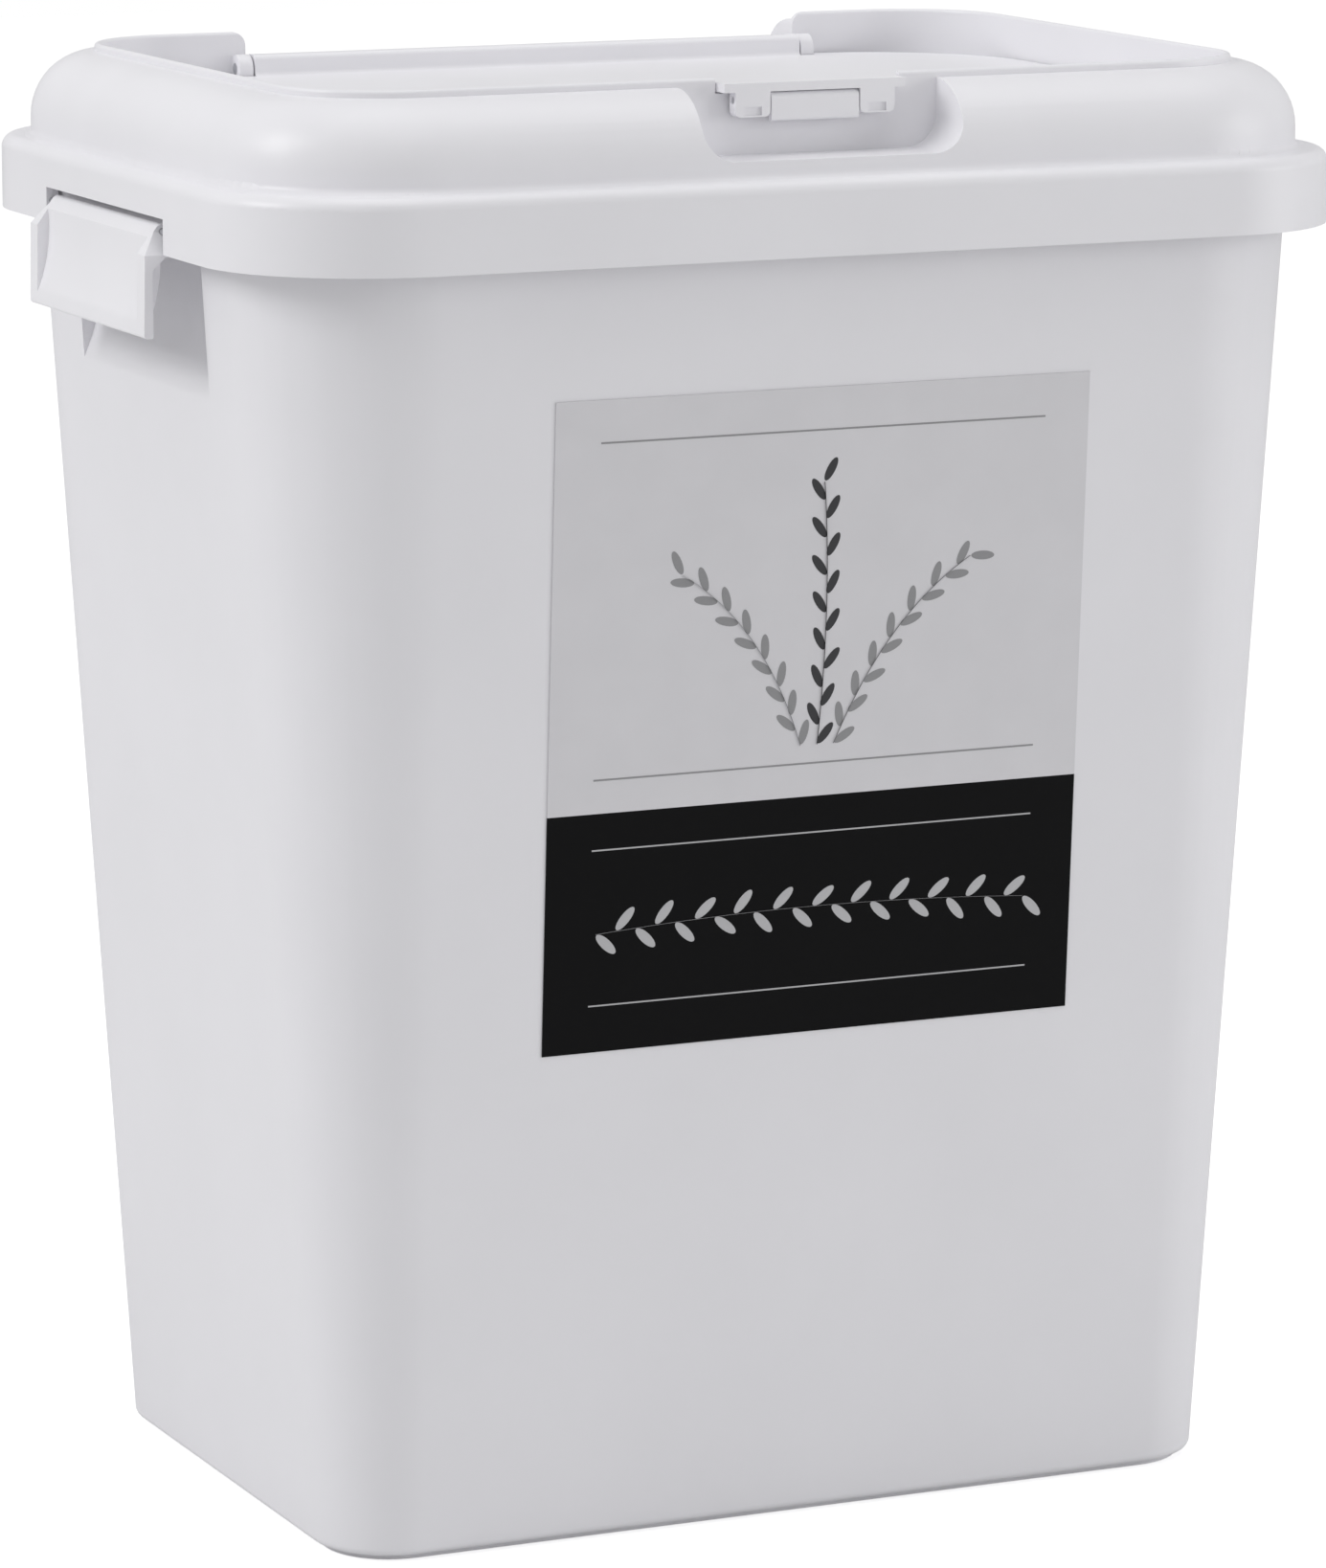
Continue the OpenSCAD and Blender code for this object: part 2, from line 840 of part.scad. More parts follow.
module side_clip_right() {
    half = clip_l / 2;
    corner_cut = 5.5;
    corner_top = 4;
    hollow_depth = 4.5;
    hollow_end = 7.2;
    hollow_x = clip_x + clip_out - hollow_depth + clip_hollow_r;
    hollow_z = clip_z - clip_shoulder;
    cheek_w = 2.4;
    back_top = 4.5;
    back_skin = 2.2;
    back_in = 6;
    hook_end = 10;
    hook_out = 3.5;
    bore_l = 13;
    color([0.93, 0.93, 0.92])
        difference() {
            union() {
                difference() {
                    intersection() {
                        along_clip(half)
                            clip_section();
                        // end view: the top corners are cut back to the pins
                        translate([clip_x - clip_out, 0, clip_z])
                            rotate([90, 0, 90])
                                linear_extrude(3 * clip_out)
                                    polygon([
                                        [-half + corner_cut, corner_top],
                                        [half - corner_cut, corner_top],
                                        [half - corner_cut, 0],
                                        [half, -clip_shoulder],
                                        [half, -clip_h - past],
                                        [-half, -clip_h - past],
                                        [-half, -clip_shoulder],
                                        [-half + corner_cut, 0]
                                    ]);
                    }
                    // hollow of the face between the two cheeks
                    rod_y(clip_hollow_r, -half + hollow_end, half - hollow_end,
                        hollow_x, hollow_z);
                    // open back
                    difference() {
                        box([clip_x - back_in, -half + cheek_w, clip_z - clip_h - past],
                            [clip_x + clip_out - back_skin, half - cheek_w,
                            clip_z - back_top]);
                        rod_y(clip_hollow_r + clip_t, -half, half, hollow_x, hollow_z);
                    }
                }
                // hook under the rim
                box([rim_x + hook_gap, -half + hook_end, clip_z - hook_low],
                    [clip_x + hook_out, half - hook_end, clip_z - hook_high]);
            }
            // the ends are cut back to thin cheeks
            for (side = [-1, 1])
                translate([0, side * half, 0])
                    along_clip(cheek_w)
                        cheek_relief();
            for (side = [-1, 1])
                rod_y(clip_pin_d / 2 + run_fit, side > 0 ? half - bore_l : -half - past,
                    side > 0 ? half + past : -half + bore_l, clip_x, clip_z);
        }
}

module side_clip_left() {
    mirror([1, 0, 0])
        side_clip_right();
}

module clip_pins_right() {
    end_in = 1;
    end = clip_l / 2 + boss_l - end_in;
    color([0.62, 0.63, 0.65])
        for (side = [-1, 1])
            rod_y(clip_pin_d / 2, side > 0 ? end - clip_pin_l : -end,
                side > 0 ? end : -end + clip_pin_l, clip_x, clip_z);
}

module clip_pins_left() {
    mirror([1, 0, 0])
        clip_pins_right();
}

bucket();
front_label();
lid_frame();
rim_seal();
flip_lid();
flip_seal();
hinge_pin_left();
hinge_pin_right();
front_latch();
latch_pin();
side_clip_left();
side_clip_right();
clip_pins_left();
clip_pins_right();
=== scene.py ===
"""Looks of a rice bin with a flip lid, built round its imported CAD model.

The CAD nodes keep their place and their size. Each plastic piece gets a copy of
its node with fine edge radii, each finish is a procedural material, and a plain
printed design of the maker's own lies on the label.
"""

import logging
import math
from collections.abc import Callable
from dataclasses import dataclass, field
from enum import Enum

import bmesh
import bpy
from mathutils import Matrix, Vector


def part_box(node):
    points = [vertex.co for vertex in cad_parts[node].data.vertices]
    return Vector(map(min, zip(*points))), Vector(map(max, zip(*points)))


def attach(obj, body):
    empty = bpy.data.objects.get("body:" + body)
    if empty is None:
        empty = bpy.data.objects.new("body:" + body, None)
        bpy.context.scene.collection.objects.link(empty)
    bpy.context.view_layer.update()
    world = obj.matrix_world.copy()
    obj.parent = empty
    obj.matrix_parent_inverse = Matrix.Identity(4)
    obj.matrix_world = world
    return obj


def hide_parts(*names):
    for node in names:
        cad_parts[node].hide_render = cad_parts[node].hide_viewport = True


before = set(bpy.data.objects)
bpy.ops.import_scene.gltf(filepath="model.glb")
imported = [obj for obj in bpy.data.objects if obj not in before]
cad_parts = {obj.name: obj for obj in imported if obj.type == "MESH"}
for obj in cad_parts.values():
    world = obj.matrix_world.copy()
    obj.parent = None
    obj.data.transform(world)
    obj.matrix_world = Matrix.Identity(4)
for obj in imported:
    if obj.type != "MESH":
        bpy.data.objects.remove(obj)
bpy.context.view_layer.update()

logging.basicConfig(level=logging.INFO, format="%(name)s: %(message)s")
log = logging.getLogger("rice_bin")

Colour = tuple[float, float, float]
Point = tuple[float, float, float]


class Slot(Enum):
    """The names of the material slots of the record."""

    BUCKET = "bucket_plastic"
    LID = "lid_plastic"
    FLIP = "flip_plastic"
    LATCH = "latch_plastic"
    CLIP = "clip_plastic"
    SEAL = "seal_rubber"
    LABEL = "label_film"
    PIN = "pin_steel"


class Side(Enum):
    """The two ends of the bin, seen from its front."""

    LEFT = "left"
    RIGHT = "right"


# ------------------------------------------------------------------ node trees


class Wiring:
    """A short way to place and join nodes in a material or geometry tree."""

    def __init__(self, tree: bpy.types.NodeTree) -> None:
        """Keeps the tree that the nodes go into."""
        self.tree = tree

    def add(self, kind: str, settings: dict | None = None,
            **inputs: object) -> bpy.types.Node:
        """Places a node and sets or joins its inputs.

        Args:
            kind: the node's type name, such as ShaderNodeMath.
            settings: properties of the node itself.
            inputs: value or socket for each input, by its name with _ for a space, or
                by its number after a letter, as in i0.

        Returns:
            The new node.
        """
        node = self.tree.nodes.new(kind)
        for key, value in (settings or {}).items():
            setattr(node, key, value)
        for key, value in inputs.items():
            number = key[1:]
            self.put(node, int(number) if number.isdigit() else key.replace("_", " "), value)
        return node

    def put(self, node: bpy.types.Node, key: int | str, value: object) -> None:
        """Sets one input, or joins it where the value is a socket."""
        socket = node.inputs[key]
        if isinstance(value, bpy.types.NodeSocket):
            self.tree.links.new(value, socket)
        else:
            socket.default_value = value

    def math(self, operation: str, a: object, b: object = 0.0) -> bpy.types.NodeSocket:
        """The result of a Math node on two values."""
        return self.add("ShaderNodeMath", {"operation": operation}, i0=a, i1=b).outputs[0]

    def spread(self, value: bpy.types.NodeSocket, low: float, high: float,
               to_low: float, to_high: float) -> bpy.types.NodeSocket:
        """Maps a value from one range to another, clamped."""
        return self.add("ShaderNodeMapRange", None, Value=value, From_Min=low, From_Max=high,
                        To_Min=to_low, To_Max=to_high).outputs[0]

    def tinted(self, colour: object, factor: bpy.types.NodeSocket) -> bpy.types.NodeSocket:
        """Multiplies a colour by a number.

        Args:
            colour: the colour, as four values or as a socket.
            factor: the number.

        Returns:
            The product.
        """
        product = self.add("ShaderNodeMix", {"data_type": "RGBA", "blend_type": "MULTIPLY"},
                           Factor=1.0)
        self.put(product, "A", colour)
        self.put(product, "B", self.add("ShaderNodeCombineColor", None, Red=factor,
                                        Green=factor, Blue=factor).outputs[0])
        return product.outputs["Result"]

    def mottled(self, colour: Colour, share: float,
                pattern: bpy.types.NodeSocket) -> bpy.types.NodeSocket:
        """Darkens a colour where a pattern is low.

        Args:
            colour: the colour where the pattern is high.
            share: what is left of the colour where the pattern is at its lowest.
            pattern: the pattern, from 0 to 1.

        Returns:
            The mottled colour.
        """
        ramp = self.add("ShaderNodeValToRGB", None, Fac=pattern)
        ramp.color_ramp.elements[0].color = (*(share * c for c in colour), 1.0)
        ramp.color_ramp.elements[1].color = (*colour, 1.0)
        return ramp.outputs[0]


# -------------------------------------------------------------------- finishes


@dataclass(frozen=True)
class Finish:
    """What every finish has: its name, colour and how rough it is."""

    name: str
    colour: Colour
    roughness: float

    def start(self) -> tuple[bpy.types.Material, Wiring, bpy.types.Node]:
        """Makes an empty material with its surface shader.

        Returns:
            The material, its wiring and its Principled shader.
        """
        material = bpy.data.materials.new(self.name)
        material.use_nodes = True
        material.diffuse_color = (*self.colour, 1.0)
        wires = Wiring(material.node_tree)
        shader = material.node_tree.nodes["Principled BSDF"]
        shader.inputs["Base Color"].default_value = (*self.colour, 1.0)
        shader.inputs["Roughness"].default_value = self.roughness
        return material, wires, shader

    def build(self) -> bpy.types.Material:
        """The finished material."""
        raise NotImplementedError


@dataclass(frozen=True)
class MouldedPlastic(Finish):
    """Injection-moulded plastic: a fine grain, a slow waviness and a few faint rubs."""

    grain_scale: float = 2400.0
    grain_detail: float = 2.0
    grain_height: float = 0.000008
    wave_scale: float = 14.0
    wave_detail: float = 3.0
    wave_roughness: float = 0.55
    wave_height: float = 0.00025
    tone_shift: float = 0.012
    rough_shift: float = 0.05
    rub: float = 0.06
    rub_stretch: Point = (26.0, 26.0, 12.0)
    rub_turn: Point = (0.5, 0.35, 0.2)
    rub_scale: float = 1.4
    rub_detail: float = 2.0
    bump: float = 0.5
    specular: float = 0.40
    glow: float = 0.10
    glow_depth: float = 0.004

    def build(self) -> bpy.types.Material:
        """The finished material."""
        material, wires, shader = self.start()
        shader.inputs["Specular IOR Level"].default_value = self.specular
        shader.inputs["Subsurface Weight"].default_value = self.glow
        shader.inputs["Subsurface Radius"].default_value = (self.glow_depth,) * 3
        place = wires.add("ShaderNodeTexCoord").outputs["Object"]
        cloud = wires.add("ShaderNodeTexNoise", None, Vector=place, Scale=self.wave_scale,
                          Detail=self.wave_detail, Roughness=self.wave_roughness).outputs[0]
        tone = wires.spread(cloud, 0.3, 0.7, 1 - self.tone_shift, 1 + self.tone_shift)
        wires.put(shader, "Base Color", wires.tinted((*self.colour, 1.0), tone))
        streak = wires.add("ShaderNodeMapping", None, Vector=place, Scale=self.rub_stretch,
                           Rotation=self.rub_turn)
        rubs = wires.add("ShaderNodeTexNoise", None, Vector=streak.outputs[0],
                         Scale=self.rub_scale, Detail=self.rub_detail)
        rubbed = wires.spread(rubs.outputs[0], 0.45, 0.75, 0.0, self.rub)
        slow = wires.spread(cloud, 0.25, 0.75, self.roughness - self.rough_shift,
                            self.roughness + self.rough_shift)
        wires.put(shader, "Roughness", wires.math("ADD", slow, rubbed))
        wave = wires.add("ShaderNodeBump", None, Height=cloud, Strength=self.bump,
                         Distance=self.wave_height)
        grain = wires.add("ShaderNodeTexNoise", None, Vector=place, Scale=self.grain_scale,
                          Detail=self.grain_detail)
        fine = wires.add("ShaderNodeBump", None, Height=grain.outputs[0], Strength=self.bump,
                         Distance=self.grain_height, Normal=wave.outputs[0])
        wires.put(shader, "Normal", fine.outputs[0])
        return material


@dataclass(frozen=True)
class SealRubber(Finish):
    """Soft grey seal with a dusty, slightly mottled skin."""

    mottle_scale: float = 320.0
    mottle_detail: float = 4.0
    mottle_share: float = 0.9
    bump: float = 0.3
    bump_height: float = 0.00005

    def build(self) -> bpy.types.Material:
        """The finished material."""
        material, wires, shader = self.start()
        place = wires.add("ShaderNodeTexCoord").outputs["Object"]
        mottle = wires.add("ShaderNodeTexNoise", None, Vector=place, Scale=self.mottle_scale,
                           Detail=self.mottle_detail).outputs[0]
        wires.put(shader, "Base Color", wires.mottled(self.colour, self.mottle_share, mottle))
        skin = wires.add("ShaderNodeBump", None, Height=mottle, Strength=self.bump,
                         Distance=self.bump_height)
        wires.put(shader, "Normal", skin.outputs[0])
        return material


@dataclass(frozen=True)
class GroundSteel(Finish):
    """Ground steel rod, with rings of fine scratches round its length."""

    ring_scale: float = 1600.0
    ring_detail: float = 3.0
    ring_stretch: Point = (1.0, 0.2, 0.2)
    smoother: float = 0.03
    rougher: float = 0.1
    bump: float = 0.25
    bump_height: float = 0.00002

    def build(self) -> bpy.types.Material:
        """The finished material."""
        material, wires, shader = self.start()
        shader.inputs["Metallic"].default_value = 1.0
        place = wires.add("ShaderNodeTexCoord").outputs["Object"]
        rings = wires.add("ShaderNodeMapping", None, Vector=place, Scale=self.ring_stretch)
        scratch = wires.add("ShaderNodeTexNoise", None, Vector=rings.outputs[0],
                            Scale=self.ring_scale, Detail=self.ring_detail).outputs[0]
        wires.put(shader, "Roughness", wires.spread(scratch, 0.3, 0.7,
                                                    self.roughness - self.smoother,
                                                    self.roughness + self.rougher))
        skin = wires.add("ShaderNodeBump", None, Height=scratch, Strength=self.bump,
                         Distance=self.bump_height)
        wires.put(shader, "Normal", skin.outputs[0])
        return material


@dataclass(frozen=True)
class LabelFilm(Finish):
    """Printed film: a pale upper field, a dark band below and a faint orange-peel skin."""

    band_colour: Colour = (0.002, 0.002, 0.0025)
    band_top: float = 0.2494
    wear_scale: float = 55.0
    wear_detail: float = 4.0
    worn_tone: float = 0.97
    smoother: float = 0.04
    rougher: float = 0.08
    peel_scale: float = 420.0
    peel_detail: float = 2.0
    peel_height: float = 0.00003
    bump: float = 0.2
    specular: float = 0.12

    def build(self) -> bpy.types.Material:
        """The finished material."""
        material, wires, shader = self.start()
        shader.inputs["Specular IOR Level"].default_value = self.specular
        place = wires.add("ShaderNodeTexCoord").outputs["Object"]
        height = wires.add("ShaderNodeSeparateXYZ", None, Vector=place).outputs["Z"]
        below = wires.math("LESS_THAN", height, self.band_top)
        wear = wires.add("ShaderNodeTexNoise", None, Vector=place, Scale=self.wear_scale,
                         Detail=self.wear_detail).outputs[0]
        printed = wires.add("ShaderNodeMix", {"data_type": "RGBA"}, Factor=below)
        wires.put(printed, "A", (*self.colour, 1.0))
        wires.put(printed, "B", (*self.band_colour, 1.0))
        worn = wires.spread(wear, 0.3, 0.7, self.worn_tone, 1.0)
        wires.put(shader, "Base Color", wires.tinted(printed.outputs["Result"], worn))
        wires.put(shader, "Roughness", wires.spread(wear, 0.3, 0.7,
                                                    self.roughness - self.smoother,
                                                    self.roughness + self.rougher))
        peel = wires.add("ShaderNodeTexNoise", None, Vector=place, Scale=self.peel_scale,
                         Detail=self.peel_detail)
        skin = wires.add("ShaderNodeBump", None, Height=peel.outputs[0], Strength=self.bump,
                         Distance=self.peel_height)
        wires.put(shader, "Normal", skin.outputs[0])
        return material


@dataclass(frozen=True)
class Ink(Finish):
    """Printing ink, a little uneven in its density."""

    speck_scale: float = 900.0
    speck_detail: float = 3.0
    speck_share: float = 0.93

    def build(self) -> bpy.types.Material:
        """The finished material."""
        material, wires, shader = self.start()
        place = wires.add("ShaderNodeTexCoord").outputs["Object"]
        speck = wires.add("ShaderNodeTexNoise", None, Vector=place, Scale=self.speck_scale,
                          Detail=self.speck_detail)
        wires.put(shader, "Base Color",
                  wires.mottled(self.colour, self.speck_share, speck.outputs[0]))
        return material


# All five pieces are one white plastic. Their colours differ only as painted light and
# painted shade for how light falls and bounces on each piece: the flip lid, latch and clips
# are painted lighter, the bucket darker.
BUCKET_FINISH = MouldedPlastic("bucket_satin", (0.848, 0.842, 0.874), 0.40)
LID_FINISH = MouldedPlastic("lid_satin", (0.862, 0.856, 0.888), 0.35)
FLIP_FINISH = MouldedPlastic("flip_satin", (0.880, 0.874, 0.906), 0.36)
LATCH_FINISH = MouldedPlastic("latch_satin", (0.870, 0.864, 0.896), 0.35)
CLIP_FINISH = MouldedPlastic("clip_satin", (0.885, 0.879, 0.911), 0.35)
SEAL_FINISH = SealRubber("seal_grey", (0.50, 0.51, 0.52), 0.75)
PIN_FINISH = GroundSteel("pin_ground", (0.60, 0.61, 0.63), 0.32)
LABEL_FINISH = LabelFilm("label_film_print", (0.725, 0.718, 0.745), 0.38)
DARK_INK = Ink("ink_dark", (0.030, 0.030, 0.034), 0.45)
MID_INK = Ink("ink_mid", (0.30, 0.30, 0.31), 0.45)
PALE_INK = Ink("ink_pale", (0.52, 0.52, 0.535), 0.45)


# --------------------------------------------------------------- mesh helpers

MERGE_DISTANCE = 0.000002
FLAT_ANGLE = 0.4
EDGE_SEGMENTS = 2
EVEN_WEIGHTS = 50


def dress(node: str, material: bpy.types.Material) -> bpy.types.Object:
    """Gives a CAD node that stays in view its finish.

    Args:
        node: the CAD node's name.
        material: the finish.

    Returns:
        The node's object.
    """
    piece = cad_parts[node]
    for slot in piece.material_slots:
        slot.material = material
    log.info("%s: CAD shape, finish %s", node, material.name)
    return piece


def soften(node: str, body: str, material: bpy.types.Material,
           radius: float, trim: Callable[[bmesh.types.BMesh], None] | None = None,
           crease: float = 32.0) -> bpy.types.Object:
    """Stands for a CAD node with a copy whose sharp edges have a fine radius.

    Args:
        node: the CAD node's name.
        body: the body that the node rides on.
        material: the finish.
        radius: width of the rounding, in metres.
        trim: what is done to the merged mesh before its edges are rounded.
        crease: smallest angle between faces that is rounded, in degrees.

    Returns:
        The new piece.
    """
    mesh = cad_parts[node].data.copy()
    mesh.name = f"{node}_soft"
    work = bmesh.new()
    work.from_mesh(mesh)
    bmesh.ops.remove_doubles(work, verts=work.verts, dist=MERGE_DISTANCE)
    if trim:
        trim(work)
    bmesh.ops.dissolve_limit(work, angle_limit=math.radians(FLAT_ANGLE), verts=work.verts,
                             edges=work.edges, use_dissolve_boundaries=False)
    work.to_mesh(mesh)
    work.free()
    mesh.materials.clear()
    mesh.materials.append(material)
    piece = bpy.data.objects.new(f"{node}_moulded", mesh)
    bpy.context.scene.collection.objects.link(piece)
    mesh.shade_smooth()
    bevel = piece.modifiers.new("edge_radius", "BEVEL")
    bevel.width = radius
    bevel.segments = EDGE_SEGMENTS
    bevel.limit_method = "ANGLE"
    bevel.angle_limit = math.radians(crease)
    bevel.use_clamp_overlap = True
    even = piece.modifiers.new("flat_faces_stay_flat", "WEIGHTED_NORMAL")
    even.weight = EVEN_WEIGHTS
    even.keep_sharp = True
    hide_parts(node)
    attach(piece, body)
    log.info("%s: stands for %s, edges rounded %.2f mm", piece.name, node, radius * 1000)
    return piece


def bake_geometry(name: str, tree: bpy.types.GeometryNodeTree,
                  values: dict[str, object]) -> bpy.types.Object:
    """Runs a geometry tree once and keeps its result as a plain mesh.

    Args:
        name: name of the new piece.
        tree: the tree to run.
        values: input name to value, set by the sockets' identifiers.

    Returns:
        The new piece, with no modifier left on it.
    """
    carrier = bpy.data.objects.new(f"{name}_carrier", bpy.data.meshes.new(f"{name}_carrier"))
    bpy.context.scene.collection.objects.link(carrier)
    modifier = carrier.modifiers.new("print", "NODES")
    modifier.node_group = tree
    for item in tree.interface.items_tree:
        if item.item_type == "SOCKET" and item.in_out == "INPUT" and item.name in values:
            modifier[item.identifier] = values[item.name]
    bpy.context.view_layer.update()
    seen = carrier.evaluated_get(bpy.context.evaluated_depsgraph_get())
    mesh = bpy.data.meshes.new_from_object(seen)
    mesh.name = name
    bpy.data.objects.remove(carrier)
    piece = bpy.data.objects.new(name, mesh)
    bpy.context.scene.collection.objects.link(piece)
    return piece


# --------------------------------------------------------------- the pieces


@dataclass
class Bucket:
    """The tapered container."""

    edge_radius: float = 0.0008

    def build(self) -> None:
        """Rounds the container's edges and gives it its finish."""
        soften("bucket", "bucket_body", BUCKET_FINISH.build(), self.edge_radius)


@dataclass
class LidFrame:
    """The frame with skirt, dome and raised lip, and the seal under it.

    The sizes of the dome and of its liners are those of the CAD model, in metres.
    """

    edge_radius: float = 0.0007
    dome_half_depth: float = 0.1405
    shoulder_radius: float = 0.022
    shoulder_low: float = 0.4615
    liner_low: float = 0.4635
    liner_high: float = 0.4755
    liner_reach: float = 0.110
    touch: float = 0.00003
    upright_share: float = 0.95
    upright_parts: int = 4

    def shoulder_y(self, height: float) -> float:
        """How far the shoulder of the dome lies from the middle at a height."""
        rise = height - self.shoulder_low
        return (self.dome_half_depth - self.shoulder_radius
                + math.sqrt(self.shoulder_radius ** 2 - rise ** 2))

    def lay_back(self, work: bmesh.types.BMesh) -> None:
        """Trims the liners of the pocket and the hinge bay where they pass the shoulder.

        Args:
            work: the frame's merged mesh.
        """
        near = {corner for corner in work.verts
                if abs(corner.co.x) < self.liner_reach
                and self.liner_low - self.touch < corner.co.z < self.liner_high + self.touch
                and abs(corner.co.y) > self.shoulder_y(corner.co.z) - self.touch}
        proud = {corner for corner in near
                 if abs(corner.co.y) > self.shoulder_y(corner.co.z) + self.touch}
        gone = [face for face in work.faces
                if near.issuperset(face.verts) and not proud.isdisjoint(face.verts)]
        upright = [edge for edge in work.edges if proud.issuperset(edge.verts)
                   and abs(edge.verts[0].co.z - edge.verts[1].co.z)
                   > self.upright_share * edge.calc_length()
                   and not set(gone).issuperset(edge.link_faces)]
        for edge in upright:
            for part in range(self.upright_parts, 1, -1):
                edge, corner = bmesh.utils.edge_split(edge, edge.verts[0], 1 / part)
                proud.add(corner)
        for corner in proud:
            corner.co.y = math.copysign(self.shoulder_y(corner.co.z), corner.co.y)
        bmesh.ops.delete(work, geom=gone, context="FACES")
        bmesh.ops.remove_doubles(work, verts=work.verts, dist=self.touch)
        rims = [edge for edge in work.edges if edge.is_boundary]
        fresh = bmesh.ops.holes_fill(work, edges=rims, sides=0)["faces"]
        bmesh.ops.triangulate(work, faces=fresh)
        bmesh.ops.recalc_face_normals(work, faces=work.faces)
        log.info("lid_frame: %d liner faces past the shoulder, %d laid back",
                 len(gone), len(fresh))

    def build(self) -> None:
        """Rounds the frame's edges and dresses the seal and the pins held in it."""
        soften("lid_frame", "lid_frame_body", LID_FINISH.build(), self.edge_radius,
               self.lay_back)
        dress("rim_seal", SEAL_FINISH.build())
        steel = PIN_FINISH.build()
        for side in Side:
            dress(f"hinge_pin_{side.value}", steel)
            dress(f"clip_pins_{side.value}", steel)


@dataclass
class FlipLid:
    """The panel in the recess, with its seal and the pin of its latch."""

    edge_radius: float = 0.0006

    def build(self) -> None:
        """Rounds the panel's edges and dresses its seal and pin."""
        soften("flip_lid", "flip_lid_body", FLIP_FINISH.build(), self.edge_radius)
        dress("flip_seal", SEAL_FINISH.build())
        dress("latch_pin", PIN_FINISH.build())


@dataclass
class FrontLatch:
    """The plate between the two ears."""

    edge_radius: float = 0.0004

    def build(self) -> None:
        """Rounds the plate's edges and gives it its finish."""
        soften("front_latch", "front_latch_body", LATCH_FINISH.build(),
               self.edge_radius)


@dataclass
class SideClips:
    """The clips at the two ends of the bin."""

    edge_radius: float = 0.0006

    def build(self) -> None:
        """Rounds each clip's edges and gives it its finish."""
        material = CLIP_FINISH.build()
        for side in Side:
            soften(f"side_clip_{side.value}", f"{side.value}_clip_body", material,
                   self.edge_radius)


@dataclass(frozen=True)
class Ear:
    """A printed stem with its grains, in metres from the middle of the film's foot."""

    name: str
    start: Point
    middle: Point
    end: Point
    grains: int = 15
    grain_length: float = 0.0085
    grain_width: float = 0.0030
    lean: float = 0.55
    stem_width: float = 0.0009
    seed: int = 7

    def inputs(self) -> dict[str, object]:
        """The values for the inputs of the tree that draws it."""
        return {"Start": self.start, "Middle": self.middle, "End": self.end,
                "Grains": self.grains, "Grain Length": self.grain_length,
                "Grain Width": self.grain_width, "Lean": self.lean,
                "Stem Width": self.stem_width, "Seed": self.seed}


MIDDLE_EAR = Ear("print_ear_middle", (0.0, 0.098, 0.0), (0.004, 0.145, 0.0),
                 (0.0, 0.186, 0.0))
LEFT_EAR = Ear("print_ear_left", (-0.006, 0.098, 0.0), (-0.020, 0.140, 0.0),
               (-0.050, 0.158, 0.0))
RIGHT_EAR = Ear("print_ear_right", (0.006, 0.098, 0.0), (0.024, 0.140, 0.0),
                (0.054, 0.158, 0.0))
BAND_ROW = Ear("print_row_band", (-0.078, 0.040, 0.0), (0.0, 0.046, 0.0),
               (0.078, 0.040, 0.0), grains=23, grain_length=0.0095, grain_width=0.0034,
               lean=0.75, stem_width=0.0008, seed=3)


